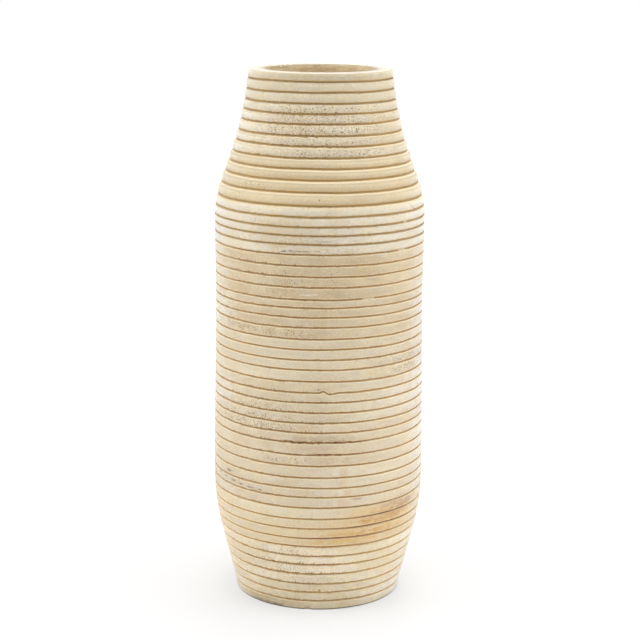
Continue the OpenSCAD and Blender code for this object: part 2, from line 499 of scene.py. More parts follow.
def floor_height():
    """Height of the floor of the well: of the lowest point at its radius in the base board."""
    radii, heights = radii_and_heights("base_board")
    bore = bore_radius("foot_ring_lower")
    return float(heights[np.abs(radii - bore) < 0.2 * MM].min())


def mesh_of_rings(name, radii, heights, marks, closed):
    """A mesh of rings of points around the axis, each joined to the next, and the last to
    the first where closed, or each of the two capped by a fan."""
    turns = np.radians(AZIMUTHS)
    rings = len(radii)
    points = np.stack([radii * np.sin(turns), -radii * np.cos(turns), heights], 2).reshape(-1, 3)
    step = np.arange(AZIMUTH_STEPS)
    after = (step + 1) % AZIMUTH_STEPS
    quads = []
    for ring in range(rings if closed else rings - 1):
        here, there = ring * AZIMUTH_STEPS, (ring + 1) % rings * AZIMUTH_STEPS
        quads.append(np.stack([here + step, here + after, there + after, there + step], 1))
    quads = np.concatenate(quads)
    fans = np.zeros((0, 3), int)
    if not closed:
        first, last = len(points), len(points) + 1
        caps = [[0, 0, heights[0].mean()], [0, 0, heights[-1].mean()]]
        points = np.concatenate([points, caps])
        top = (rings - 1) * AZIMUTH_STEPS
        fans = np.concatenate([
            np.stack([after, step, np.full_like(step, first)], 1),
            np.stack([top + step, top + after, np.full_like(step, last)], 1),
        ])
    mesh = bpy.data.meshes.new(name)
    mesh.vertices.add(len(points))
    mesh.vertices.foreach_set("co", points.astype(np.float32).ravel())
    corners = np.concatenate([quads.ravel(), fans.ravel()])
    mesh.loops.add(len(corners))
    mesh.loops.foreach_set("vertex_index", corners.astype(np.int32))
    starts = np.concatenate([
        np.arange(len(quads)) * 4,
        4 * len(quads) + np.arange(len(fans)) * 3,
    ])
    mesh.polygons.add(len(starts))
    mesh.polygons.foreach_set("loop_start", starts.astype(np.int32))
    mesh.update(calc_edges=True)
    for mark, values in marks.items():
        layer = mesh.attributes.new(mark, "FLOAT", "POINT")
        flat = np.zeros(len(points), np.float32)
        flat[: values.size] = values.ravel()
        layer.data.foreach_set("value", flat)
    mesh.polygons.foreach_set("use_smooth", np.ones(len(mesh.polygons), bool))
    mesh.set_sharp_from_angle(angle=math.radians(50))
    mesh.validate()
    return mesh


def board(name, index, bore):
    """The piece that stands for one board of the blank."""
    look = BOARDS[name]
    seed = 1000 + 40 * index
    outline = finer(turned_outline(name, bore))
    radii, heights, marks = shaped_wall(outline, look, seed)
    well_radii, well_heights, well_torn = shaped_well(name, bore, outline[-1, 0], seed)
    well = (well_radii < bore + 0.5 * MM).astype(float)
    parts = [(radii, heights, marks), (well_radii, well_heights, dict(torn=well_torn, well=well))]
    if name == "base_board":
        under = np.array(even_rings(
            np.array([POLE_RADIUS, heights[0, 0]]), outline[0], 3 * BORE_STEP))
        under = np.concatenate([[[POLE_RADIUS, heights[0, 0]]], under])
        under_radii = under[:, :1] * np.ones(AZIMUTH_STEPS)
        under_heights = under[:, 1:] * np.ones(AZIMUTH_STEPS)
        parts.insert(0, (under_radii, under_heights, {}))
    marks = {
        mark: np.concatenate([m.get(mark, np.zeros_like(r)) for r, _, m in parts])
        for mark in ("groove", "lip", "crest", "torn", "well")}
    radii = np.concatenate([r for r, _, _ in parts])
    heights = np.concatenate([h for _, h, _ in parts])
    mesh = mesh_of_rings(name + "_turned", radii, heights, marks, name != "base_board")
    piece = bpy.data.objects.new(name + "_turned", mesh)
    bpy.context.scene.collection.objects.link(piece)
    mesh.materials.append(wood(name, look, index, bore))
    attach(piece, "root")
    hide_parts(name)
    return piece


# Wood, as solid materials


class Nodes:
    """The node tree of one material, with short calls that return output sockets."""

    def __init__(self, name):
        self.material = bpy.data.materials.new(name)
        self.material.use_nodes = True
        self.tree = self.material.node_tree
        self.tree.nodes.clear()

    def add(self, kind, sockets, **settings):
        node = self.tree.nodes.new("ShaderNode" + kind)
        for key, value in settings.items():
            setattr(node, key, value)
        for key, value in sockets.items():
            if isinstance(value, bpy.types.NodeSocket):
                self.tree.links.new(value, node.inputs[key])
            else:
                node.inputs[key].default_value = value
        return node

    def math(self, operation, *values):
        return self.add("Math", dict(enumerate(values)), operation=operation).outputs[0]

    def times(self, one, other):
        return self.math("MULTIPLY", one, other)

    def total(self, *values):
        result = values[0]
        for value in values[1:]:
            result = self.math("ADD", result, value)
        return result

    def ramp(self, value, low, high, to_low=0.0, to_high=1.0):
        """A smooth step from to_low to to_high as the value goes from low to high."""
        sockets = {
            "Value": value, "From Min": low, "From Max": high,
            "To Min": to_low, "To Max": to_high}
        return self.add("MapRange", sockets, interpolation_type="SMOOTHSTEP").outputs[0]

    def scaled(self, vector, scales):
        return self.add("VectorMath", {0: vector, 1: scales}, operation="MULTIPLY").outputs[0]

    def noise(self, vector, scales, detail=2.0, roughness=0.5, distortion=0.0):
        """Noise about zero, mostly between -1 and 1, with about so many features per metre."""
        sockets = {
            "Vector": self.scaled(vector, scales), "Scale": 1.0, "Detail": detail,
            "Roughness": roughness, "Distortion": distortion}
        raw = self.add("TexNoise", sockets).outputs[0]
        return self.math("MULTIPLY_ADD", raw, 4.0, -2.0)

    def cells(self, vector, scales):
        """Cells about scattered points: the distance from those, and a random colour each."""
        sockets = {"Vector": self.scaled(vector, scales), "Scale": 1.0}
        return self.add("TexVoronoi", sockets, feature="F1").outputs

    def length(self, vector):
        return self.add("VectorMath", {0: vector}, operation="LENGTH").outputs["Value"]

    def mix(self, factor, below, above):
        sockets = {0: factor, 6: below, 7: above}
        return self.add("Mix", sockets, data_type="RGBA", clamp_factor=True).outputs[2]

    def brighter(self, colour, gain):
        return self.add("VectorMath", {0: colour, "Scale": gain}, operation="SCALE").outputs[0]

    def mark(self, name):
        return self.add("Attribute", {}, attribute_name=name).outputs["Fac"]


def rgba(colour):
    return (*linear(colour), 1.0)


def spot(azimuth, height, half_azimuth, half_height, strength, colour=None, **more):
    """A place on the vase, in degrees around and millimetres up, that is marked in a colour.
    wobble is how torn its outline is, soft how wide the outline fades, as a share of the
    spot, slant how far it leans, in degrees around for each millimetre up, and over_edges
    whether it also covers the ribs' edges."""
    place = dict(
        azimuth=azimuth, height=height * MM, half_azimuth=half_azimuth,
        half_height=half_height * MM, strength=strength, colour=colour,
        wobble=0.9, soft=0.5, slant=0.0, over_edges=False)
    place.update(more)
    return place


# Stains and marks that the photograph shows
# Among them, at the vase's sides, painted reflection of the white surroundings and painted shade
STAINS_AND_PAINTED_LIGHT = [
    # The orange stain at the lower right, with brown and grey in its upper part
    spot(36, 70.0, 30, 15.0, 0.80, (224, 184, 114), wobble=0.4, slant=1.0, soft=0.8,
         over_edges=True),
    spot(42, 73.8, 16, 2.6, 0.60, (192, 140, 84), wobble=1.4, slant=2.4),
    spot(30, 63.8, 20, 2.4, 0.45, (206, 154, 88), wobble=1.4, slant=2.0),
    spot(14, 58.1, 20, 3.0, 0.55, (218, 174, 102), wobble=1.2, slant=1.2),
    spot(45, 80.2, 14, 4.0, 0.50, (204, 162, 114), wobble=1.3, slant=1.2),
    spot(55, 80.2, 8, 3.6, 0.60, (152, 112, 78), wobble=1.5, slant=1.2),
    spot(46, 83.2, 11, 1.8, 0.55, (186, 158, 134), slant=1.0),
    spot(57, 87.2, 9, 2.4, 0.35, (198, 176, 156)),
    spot(21, 91.5, 3.6, 1.0, 0.60, (170, 146, 138)),
    spot(50.5, 96.7, 2.6, 1.4, 0.40, (214, 170, 146)),
    # A streak of knotty wood, in pale and orange patches from rib to rib
    spot(11.3, 121.7, 2.4, 3.0, 0.50, (236, 222, 196), wobble=1.0),
    spot(13.5, 112.7, 2.6, 3.2, 0.45, (222, 184, 142)),
    spot(9.2, 113.2, 1.8, 3.4, 0.50, (238, 226, 204), wobble=1.2),
    spot(12.6, 104.2, 2.8, 3.0, 0.45, (224, 186, 150)),
    spot(8.8, 104.7, 1.8, 2.8, 0.45, (224, 212, 194), wobble=1.2),
    spot(15.6, 96.7, 2.6, 2.6, 0.50, (226, 182, 128)),
    spot(11.9, 97.2, 2.0, 3.0, 0.50, (238, 226, 202), wobble=1.2),
    spot(13.0, 89.2, 3.4, 3.2, 0.45, (222, 182, 144)),
    spot(8.6, 88.7, 1.8, 2.6, 0.40, (234, 222, 200), wobble=1.2),
    # Greyish brown round the darkest groove
    spot(-9, 137.6, 6, 2.2, 0.45, (178, 152, 120), wobble=1.3),
    spot(6, 138.0, 10, 2.6, 0.45, (182, 156, 122), wobble=1.4),
    spot(-4, 131.1, 12, 3.0, 0.35, (196, 168, 134), wobble=1.2),
    spot(-2, 136.0, 20, 0.7, 0.70, (160, 120, 76), wobble=1.2),
    spot(3.5, 126.8, 7, 0.7, 0.70, (168, 122, 80), wobble=1.2),
    spot(2, 122.2, 9, 2.4, 0.35, (200, 174, 140), wobble=1.2),
    # Dark dashes, broad pale and deep places, and small knots, and among them painted reflection
    # and painted shade at the vase's sides
    spot(-22, 278.7, 4.5, 4.0, 0.35, (216, 176, 118), wobble=0.8, slant=0.8),
    spot(-19.0, 275.5, 1.5, 0.50, 0.85, (116, 92, 56)),
    spot(-15.2, 275.7, 1.1, 0.45, 0.85, (116, 92, 56)),
    spot(-11.0, 275.7, 1.5, 0.40, 0.80, (122, 98, 62), wobble=1.0),
    spot(-6.5, 275.8, 1.9, 0.40, 0.80, (122, 98, 62), wobble=1.1),
    spot(-1.5, 276.0, 1.6, 0.35, 0.55, (132, 108, 74), wobble=1.1),
    spot(2.0, 283.1, 5.0, 0.30, 0.55, (132, 112, 80), wobble=1.2),
    spot(-50, 96.7, 20, 7.0, 0.35, (196, 184, 164)),
    spot(-8, 353.3, 40, 9.0, 0.15, (204, 178, 144), wobble=0.6),
    spot(-10, 342.8, 40, 3.0, 0.20, (210, 190, 158), wobble=0.6),
    spot(-26, 367.1, 14, 4.0, 0.28, (212, 180, 148), wobble=1.0),
    spot(-12, 359.8, 18, 4.2, 0.32, (212, 180, 146), wobble=1.0),
    spot(8, 367.6, 12, 3.6, 0.22, (212, 182, 152), wobble=1.0),
    # Painted shade at the right of the neck and rim, in the next two
    spot(58, 357.3, 24, 15.0, 0.50, (204, 182, 144)),
    spot(58, 387.2, 34, 10.0, 0.50, (204, 190, 158)),
    spot(0, 396.6, 58, 4.0, 0.75, (194, 178, 146)),
    spot(-22, 289.7, 15, 10.0, 0.30, (200, 168, 118), wobble=1.2),
    spot(-48, 39.1, 22, 13.0, 0.45, (206, 180, 136), wobble=1.0),
    # Painted reflection of the white surroundings at the base's right side
    spot(62, 10.4, 34, 9.0, 0.60, (246, 238, 222)),
    spot(-38, 3.7, 20, 4.0, 0.50, (176, 154, 116)),
    spot(-40, 1.0, 13, 1.7, 0.60, (112, 92, 64), wobble=1.6),
    # Painted reflection of the white surroundings at the foot's right side
    spot(78, 9.0, 18, 9.0, 0.65, (250, 246, 238)),
    spot(30, 39.0, 30, 14.0, 0.35, (214, 192, 148), wobble=1.0),
    # Painted reflection of the white surroundings at the belly's right side, in the next two
    spot(62, 165.0, 30, 14.0, 0.40, (236, 230, 216)),
    spot(78, 133.0, 16, 13.0, 0.40, (240, 236, 226)),
    spot(44, 133.0, 12, 12.0, 0.30, (206, 190, 164)),
    spot(-45, 197.0, 18, 12.0, 0.35, (204, 186, 154), wobble=1.0),
    spot(-48, 68.0, 16, 12.0, 0.35, (206, 188, 158), wobble=1.0),
    # Painted reflection of the white surroundings at the left side
    spot(-76, 258.0, 18, 14.0, 0.35, (238, 232, 216)),
    spot(34, 290.0, 22, 12.0, 0.30, (242, 234, 216)),
    # Painted reflection of the white surroundings at the left side, in the next two
    spot(-76, 290.0, 18, 14.0, 0.40, (240, 236, 226)),
    spot(-72, 367.1, 22, 34.0, 0.45, (240, 232, 212), wobble=0.8, soft=0.7),
    # Painted shade at the right of the neck
    spot(74, 357.3, 18, 22.0, 0.40, (216, 196, 156), wobble=0.8, soft=0.7),
    # Painted reflection of the white surroundings at both sides, in the next three
    spot(78, 60.7, 20, 70.0, 0.25, (242, 236, 224), wobble=0.6, soft=0.6),
    spot(-76, 226.2, 20, 16.0, 0.60, (240, 234, 220), wobble=0.8, soft=0.6),
    spot(76, 226.2, 18, 16.0, 0.30, (238, 230, 212), wobble=0.8, soft=0.6),
    # Painted shade at the left of the shoulder and the rim, in the next two
    spot(-56, 324.3, 30, 18.0, 0.55, (210, 190, 154), wobble=0.8, soft=0.6),
    spot(-58, 387.2, 34, 9.0, 0.50, (206, 190, 158)),
    spot(4, 39.1, 18, 13.0, 0.60, (252, 240, 212)),
    spot(-2, 26.1, 16, 2.6, 0.30, (196, 172, 128)),
    spot(1.4, 17.1, 0.7, 0.8, 0.80, (116, 84, 44), wobble=0.2),
    spot(-0.1, 174.7, 0.6, 0.7, 0.70, (136, 108, 72), wobble=0.2),
    spot(-0.2, 312.4, 0.6, 0.7, 0.70, (136, 108, 72), wobble=0.2),
    spot(61.5, 301.8, 0.35, 3.4, 0.85, (112, 84, 48), wobble=0.1, slant=-1.5),
    spot(-6, 244.4, 5, 0.7, 0.50, (238, 230, 212)),
    # Painted shade at the right of the neck
    spot(45, 357.0, 13, 14.0, 0.32, (202, 186, 154), wobble=0.7, soft=0.7),
    # Painted reflection of the white surroundings at the left side, in the next two
    spot(-74, 164.0, 18, 14.0, 0.40, (238, 234, 228), wobble=0.7, soft=0.6),
    spot(-76, 10.0, 16, 9.0, 0.45, (244, 240, 234), wobble=0.8),
    # Painted shade at the right side, in the next two
    spot(72, 196.0, 14, 13.0, 0.28, (204, 190, 162), wobble=0.8, soft=0.6),
    spot(72, 100.0, 12, 13.0, 0.28, (204, 190, 164), wobble=0.8, soft=0.6),
    # A faint painted reflection of the white surroundings down both sides, in the next two
    spot(77, 200.0, 16, 190.0, 0.20, (242, 240, 240), wobble=0.5),
    spot(-77, 330.0, 16, 90.0, 0.15, (242, 240, 240), wobble=0.5),
]
# Stains in the grooves only
GROOVE_STAINS = [
    spot(-10, 7.7, 70, 2.4, 0.45, (176, 146, 100), wobble=0.5),
    spot(0, 134.8, 30, 2.4, 0.70, (166, 118, 62), wobble=0.5),
    spot(-10, 134.8, 6, 2.4, 0.75, (134, 88, 40), wobble=0.8),
    spot(9, 134.8, 7, 2.4, 0.75, (134, 88, 40), wobble=0.8),
    spot(5, 125.6, 5, 2.4, 0.85, (150, 86, 38), wobble=0.5),
    spot(0, 125.6, 22, 2.4, 0.40, (164, 112, 62), wobble=0.5),
    spot(5, 164.8, 3.6, 2.4, 0.60, (150, 108, 70), wobble=0.5),
    spot(44, 76.5, 20, 2.4, 0.95, (136, 68, 2), slant=1.0, wobble=0.6),
    spot(38, 68.8, 24, 2.6, 0.95, (140, 70, 2), wobble=0.6),
    spot(16, 61.1, 24, 2.6, 0.90, (160, 86, 10), wobble=0.6),
    spot(-2, 54.2, 22, 2.6, 0.55, (192, 124, 44), wobble=0.6),
    spot(-50, 38.8, 13, 2.6, 0.70, (176, 112, 50), wobble=0.6),
    spot(-52, 46.1, 12, 2.6, 0.50, (184, 124, 62), wobble=0.6),
    spot(24, 85.3, 26, 2.6, 0.40, (150, 122, 92), wobble=0.6),
]
# Clusters of open pores
PORES = [
    spot(4, 375.1, 56, 3.6, 0.80, wobble=0.4),
    spot(4, 367.6, 56, 4.4, 0.85, wobble=0.4),
    spot(0, 359.8, 56, 4.4, 0.95, wobble=0.4),
    spot(-2, 352.3, 52, 4.2, 0.78, wobble=0.4),
    spot(10, 344.5, 46, 3.4, 0.90, wobble=0.5),
    spot(-42, 320.8, 13, 3.2, 0.85, wobble=0.7),
    spot(-55, 311.8, 11, 3.0, 0.75, wobble=0.7),
    spot(-30, 295.2, 10, 3.0, 0.50),
    spot(-50, 283.5, 14, 2.4, 0.75, wobble=0.8),
    spot(-4, 283.0, 14, 1.4, 0.70),
    spot(8, 276.3, 13, 2.2, 0.80, wobble=0.8),
    spot(-14, 275.7, 11, 1.2, 1.00, wobble=0.6),
    spot(29, 261.5, 12, 2.0, 0.55),
    spot(-5, 260.0, 19, 2.6, 0.70, wobble=0.8),
    spot(-6, 253.4, 20, 2.8, 0.75, wobble=0.8),
    spot(-22, 245.8, 26, 3.0, 0.60, wobble=0.8),
    spot(8, 232.4, 5, 1.2, 0.70),
    spot(-45, 216.5, 15, 3.2, 0.95, wobble=0.6, slant=-3.0),
    spot(-30, 216.5, 34, 3.4, 0.75, wobble=0.6),
    spot(-17, 215.4, 14, 2.2, 0.80, wobble=0.8, slant=-3.0),
    spot(20, 217.8, 7, 3.0, 0.55, slant=-1.0),
    spot(44, 208.9, 12, 2.6, 0.70, wobble=0.8, slant=-1.6),
    spot(56, 200.2, 16, 3.0, 0.60, wobble=0.8),
    spot(55, 192.7, 20, 3.4, 0.85, wobble=0.7),
    spot(54, 184.7, 20, 3.2, 0.90, wobble=0.7),
    spot(-34, 159.2, 24, 3.6, 0.80, wobble=0.5),
    spot(-34, 152.2, 30, 3.0, 0.80, wobble=0.5),
    spot(-36, 145.9, 32, 3.4, 0.95, wobble=0.5),
    spot(-30, 145.5, 40, 14.0, 0.28, wobble=0.6),
    spot(33, 144.0, 14, 1.6, 0.50),
    spot(-16, 120.9, 14, 2.0, 0.80, wobble=0.7),
    spot(-39, 113.7, 5, 2.0, 0.50),
    spot(-17, 49.9, 13, 1.4, 0.75),
    spot(18, 51.1, 6, 1.2, 0.60),
    spot(-14, 34.1, 16, 3.2, 0.80, wobble=0.7),
    spot(-18, 41.2, 18, 2.8, 0.65, wobble=0.7),
    spot(-12, 26.6, 16, 2.4, 0.50),
]
# Places where the fibres fray into teeth along the edges above the grooves
TEETH = [
    spot(-20, 356.3, 46, 22.0, 0.90, wobble=0.6),
    spot(-32, 260.7, 22, 16.0, 0.80, wobble=0.8),
    spot(-30, 150.2, 38, 28.0, 0.80, wobble=0.6),
    spot(-20, 34.1, 36, 15.0, 1.00, wobble=0.5),
]
# Grey pits, larger than pores
PITS = [
    spot(*place_and_size, 0.90, wobble=1.4) for place_and_size in (
        (-57, 103.7, 2.2, 1.0), (-67, 99.4, 2.0, 0.8), (-60, 98.3, 1.6, 0.7),
        (-53, 97.3, 2.0, 0.7), (-46, 96.5, 1.5, 0.6), (-39, 95.9, 1.9, 0.6),
        (-32, 95.5, 1.3, 0.5),
    )
]
# How far past its own size a spot can still mark a board
NEAR = 6 * MM


def around_board(places, name):
    """The spots that can reach a board."""
    low, high = BOXES[name]
    return [
        p for p in places
        if low.z - p["half_height"] - NEAR < p["height"] < high.z + p["half_height"] + NEAR
    ]


def spot_mask(g, angle_and_height, place, warp):
    """How much of a spot lies at each point: a leaning ellipse with a torn outline."""
    azimuth, z = angle_and_height
    up = g.math("SUBTRACT", z, place["height"])
    lean = math.radians(place["slant"]) / MM
    across = g.math("SUBTRACT", azimuth, math.radians(place["azimuth"]))
    across = g.math("MULTIPLY_ADD", up, -lean, across)
    across = g.math("DIVIDE", across, math.radians(place["half_azimuth"]))
    up = g.math("DIVIDE", up, place["half_height"])
    flat = g.add("CombineXYZ", {0: across, 1: up}).outputs[0]
    distance = g.length(flat)
    distance = g.math("MULTIPLY_ADD", warp, place["wobble"] / 2, distance)
    return g.ramp(distance, 1 + place["soft"], 1 - place["soft"], 0.0, place["strength"])


def wood(name, look, index, bore):
    """The solid wood of one board, whose fibres run through it along one line."""
    g = Nodes(name + "_wood")
    position = g.add("TexCoord", {}).outputs["Object"]
    x, y, z = g.add("SeparateXYZ", {0: position}).outputs
    azimuth_and_height = g.math("ARCTAN2", x, g.times(y, -1.0)), z
    shift = Vector((0.37, 0.71, 0.53)) * (index + 1)
    along = {"Vector": position, "Angle": math.radians(90 - look["end_grain"])}
    grain = g.add("VectorRotate", along, rotation_type="Z_AXIS").outputs[0]
    ends = g.add("VectorMath", {0: g.scaled(grain, (1, 1, 0))}, operation="NORMALIZE").outputs[0]
    ends = g.math("ABSOLUTE", g.add("SeparateXYZ", {0: ends}).outputs[0])
    grain = g.add("VectorMath", {0: grain, 1: shift}, operation="ADD").outputs[0]

    # Broad tone, growth rings about a pith beside the board, and fibres
    tone = g.noise(grain, (9, 42, 60), 4, 0.55)
    sway = g.noise(grain, (5, 25, 25), 2, 0.5)
    pith = shift + Vector((0, 0.11 if index % 2 else -0.09, -0.05 - 0.02 * (index % 3)))
    from_pith = g.add("VectorMath", {0: grain, 1: pith}, operation="SUBTRACT").outputs[0]
    from_pith = g.scaled(from_pith, (0, 1, 1))
    radius = g.length(from_pith)
    ring = g.math("MULTIPLY_ADD", sway, RING_SWAY, radius)
    rings = g.math("SINE", g.times(ring, 2 * math.pi / RING_SPACING))
    rings = g.times(rings, g.ramp(g.noise(grain, (4, 18, 18)), -0.6, 0.8))
    fibres = g.noise(grain, (45, 700, 700), 3, 0.6)
    speckle = g.noise(grain, (800, 800, 800), 3, 0.7)

    deepness = g.total(
        0.42,
        g.times(tone, 0.42),
        g.times(rings, 0.12),
        g.times(fibres, 0.14),
        g.ramp(ends, 0.55, 1.0, -0.08, 0.14),
    )
    colour = g.mix(deepness, rgba(look["pale"]), rgba(look["deep"]))

    # Cream, tan and grey blotches that keep to no direction
    blotch = g.noise(position, (38, 38, 60), 3, 0.5)
    cloud = g.noise(position, (70, 70, 170), 3, 0.55)
    colour = g.mix(g.ramp(blotch, 0.1, 1.2, 0.0, 0.35), colour, rgba(CREAM_BLOTCH))
    colour = g.mix(g.ramp(blotch, -0.2, -1.3, 0.0, 0.30), colour, rgba(TAN_BLOTCH))
    colour = g.mix(g.ramp(cloud, 0.2, 1.3, 0.0, 0.35), colour, rgba(GREY_CLOUD))

    # Stains, with painted reflection and painted shade at the sides among them
    warp = g.noise(grain, (120, 260, 260), 4, 0.6)
    streaks = g.noise(position, (130, 130, 700), 3, 0.6)
    unstained = 1.0
    for place in around_board(STAINS_AND_PAINTED_LIGHT, name):
        mask = spot_mask(g, azimuth_and_height, place, warp)
        if place["over_edges"]:
            unstained = g.math("SUBTRACT", 1.0, mask)
        mask = g.times(mask, g.ramp(streaks, -1.0, 0.7, 0.35, 1.25))
        colour = g.mix(mask, colour, rgba(place["colour"]))
    for place in around_board(PITS, name):
        mask = spot_mask(g, azimuth_and_height, place, g.math("ADD", warp, speckle))
        colour = g.mix(mask, colour, rgba(PIT_COLOUR))

    # Clusters of open pores: where the fibres end at the surface, at the frayed lower edges
    # of the ribs there, and in the places listed above
    clusters = g.noise(grain, (14, 48, 75), 3, 0.6)
    open_ends = g.ramp(ends, 0.62, 0.93)
    scattered = g.ramp(clusters, 0.9 - look["pores"], 1.7 - look["pores"], 0.0, 0.6)
    where = g.times(open_ends, scattered)
    for place in around_board(PORES, name):
        where = g.math("MAXIMUM", where, spot_mask(g, azimuth_and_height, place, warp))
    lip = g.mark("lip")
    frayed = g.times(g.ramp(ends, 0.5, 0.95, 0.05, 0.5), g.ramp(clusters, -1.0, 0.5))
    frayed = g.times(frayed, look["ragged"])
    for place in around_board(TEETH, name):
        frayed = g.math("MAXIMUM", frayed, spot_mask(g, azimuth_and_height, place, warp))
    fringe = g.times(g.ramp(lip, 0.45, 1.0), frayed)
    where = g.math("MAXIMUM", where, g.times(fringe, 0.7))

    # Pores: larger dots, short dashes where the fibres run along the surface, fine dots,
    # and light specks between them
    cells = g.cells(grain, (260, 860, 860))
    size, lightness, _ = g.add("SeparateXYZ", {0: cells["Color"]}).outputs
    reach = g.times(where, g.math("MULTIPLY_ADD", size, 0.42, 0.03))
    dots = g.ramp(g.math("SUBTRACT", cells["Distance"], reach), 0.10, -0.06)
    fine = g.cells(grain, (420, 1400, 1400))
    fine_size = g.add("SeparateXYZ", {0: fine["Color"]}).outputs[0]
    fine_reach = g.times(where, g.math("MULTIPLY_ADD", fine_size, 0.5, 0.05))
    fine_dots = g.ramp(g.math("SUBTRACT", fine["Distance"], fine_reach), 0.08, -0.12)
    fine_dots = g.times(fine_dots, where)
    specks = g.ramp(fine_size, 0.30, 0.10)
    specks = g.times(specks, g.ramp(fine["Distance"], 0.5, 0.2))
    specks = g.times(specks, where)
    colour = g.mix(g.times(fine_dots, 0.55), colour, rgba(FINE_PORE_COLOUR))
    colour = g.mix(g.times(specks, 0.60), colour, rgba(SPECK_COLOUR))
    pores = g.times(dots, g.ramp(lightness, 0.0, 1.0, 0.95, 0.45))
    colour = g.mix(pores, colour, rgba(PORE_COLOUR))

    # Turning and sanding marks
    lines = g.noise(position, (25, 25, 2200), 2, 0.7)
    gain = g.total(
        1.0,
        g.times(lines, 0.042),
        g.times(speckle, g.math("MULTIPLY_ADD", where, 0.110, 0.120)),
        g.times(streaks, 0.045),
    )
    colour = g.brighter(colour, gain)
    warmth = g.noise(position, (80, 80, 190), 3, 0.6)
    tint = g.mix(g.ramp(warmth, -1.3, 1.3), (0.975, 1.0, 1.09, 1), (1.02, 1.0, 0.90, 1))
    colour = g.scaled(colour, tint)

    # The ribs' edges with painted highlight and painted shade, faces that lean up in painted shade,
    # the grooves, darkened partly by the tool and partly as painted shade, the rim's level top in
    # painted shade, and the wood of the well, with painted shade at its mouth
    groove = g.mark("groove")
    torn = g.mark("torn")
    well = g.mark("well")
    facing = g.add("NewGeometry", {}).outputs["Normal"]
    upward = g.add("SeparateXYZ", {0: facing}).outputs[2]
    marks_and_painted_light = GROOVE_LOOKS[SLOT_OF[name]]
    # Painted highlights along the ribs' edges, under the grooves (crest) and above them (edge),
    # except on the neck, whose edge colour is painted shade
    for mark, kind in ((g.mark("crest"), "crest"), (lip, "edge")):
        reach = g.ramp(mark, 0.35, 1.0, 0.0, marks_and_painted_light[kind + "_share"])
        colour = g.mix(g.times(reach, unstained), colour, rgba(marks_and_painted_light[kind]))
    # Faces that lean up, darkened as painted shade against the light from above
    up_shade = g.ramp(upward, 0.38, 0.62, 0.0, marks_and_painted_light["up_shade_share"])
    colour = g.mix(up_shade, colour, rgba(marks_and_painted_light["up_shade"]))
    # Painted shade on the grooves' down-facing walls, and a painted highlight on their up-facing
    # walls (ledge)
    edge = g.ramp(groove, 0.01, 0.25)
    above = g.times(edge, g.ramp(upward, 0.0, -0.7, 0.0, 0.80))
    ledge = g.ramp(groove, marks_and_painted_light["ledge"], marks_and_painted_light["ledge"] + 0.24)
    below = g.times(ledge, g.ramp(upward, 0.1, 0.7, 0.0, 0.80))
    colour = g.mix(above, colour, rgba(marks_and_painted_light["lip"]))
    colour = g.mix(below, colour, rgba(LEDGE_HIGHLIGHT))
    # The rim's level top, darkened as painted shade against the light from above, most towards the
    # well
    if name == "rim_ring":
        level = g.ramp(upward, 0.45, 0.85, 0.0, 0.85)
        out = g.length(g.scaled(position, (1, 1, 0)))
        out = g.ramp(out, bore + RIM_SHADE_START, bore + RIM_SHADE_END)
        shaded_top = g.mix(out, rgba(RIM_TOP_SHADE["inner"]), rgba(RIM_TOP_SHADE["outer"]))
        colour = g.mix(level, colour, shaded_top)
    teeth = g.noise(position, (950, 950, 260), 1, 0.5)
    tooth = g.math("MULTIPLY_ADD", teeth, 0.50, lip)
    tooth = g.times(g.ramp(tooth, 0.76, 0.98), frayed)
    # Grime and painted contact shade along the base's bottom edge, where it meets the floor
    if name == "base_board":
        grime_and_shade = g.ramp(z, GRIME_AND_SHADE_TOP, GRIME_AND_SHADE_FULL, 0.0, 0.90)
        colour = g.mix(grime_and_shade, colour, rgba(GRIME_AND_CONTACT_SHADE))
    # The grooves, darker with depth, partly wood darkened by the tool and partly painted shade,
    # which is lighter on their up-facing walls
    dark = g.noise(position, (60, 60, 20), 2, 0.5)
    deep = g.times(g.ramp(groove, 0.30, 0.75), g.ramp(upward, 0.3, 0.9, 1.0, 0.45))
    groove_tone_and_shade = g.mix(
        g.ramp(dark, -1, 1, 0.0, 0.5), rgba(marks_and_painted_light["groove"]), rgba(marks_and_painted_light["lip"]))
    for place in around_board(GROOVE_STAINS, name):
        mask = spot_mask(g, azimuth_and_height, place, warp)
        groove_tone_and_shade = g.mix(mask, groove_tone_and_shade, rgba(place["colour"]))
    colour = g.mix(deep, colour, groove_tone_and_shade)
    colour = g.mix(g.times(tooth, 0.85), colour, rgba(marks_and_painted_light["teeth"]))
    colour = g.mix(g.times(torn, 0.5), colour, rgba(TORN_COLOUR))
    bored = g.noise(position, (90, 90, 160), 4, 0.65, 0.6)
    bored_colour = g.mix(
        g.ramp(bored, -1, 1), rgba(WELL_COLOURS["pale"]), rgba(WELL_COLOURS["deep"]))
    colour = g.mix(g.times(well, 0.85), colour, bored_colour)
    # Painted shade on the well's up-facing parts: the mouth's rounded edge and the well's floor
    mouth = g.times(well, g.ramp(upward, 0.2, 0.7, 0.0, 0.8))
    colour = g.mix(mouth, colour, rgba(WELL_COLOURS["mouth"]))

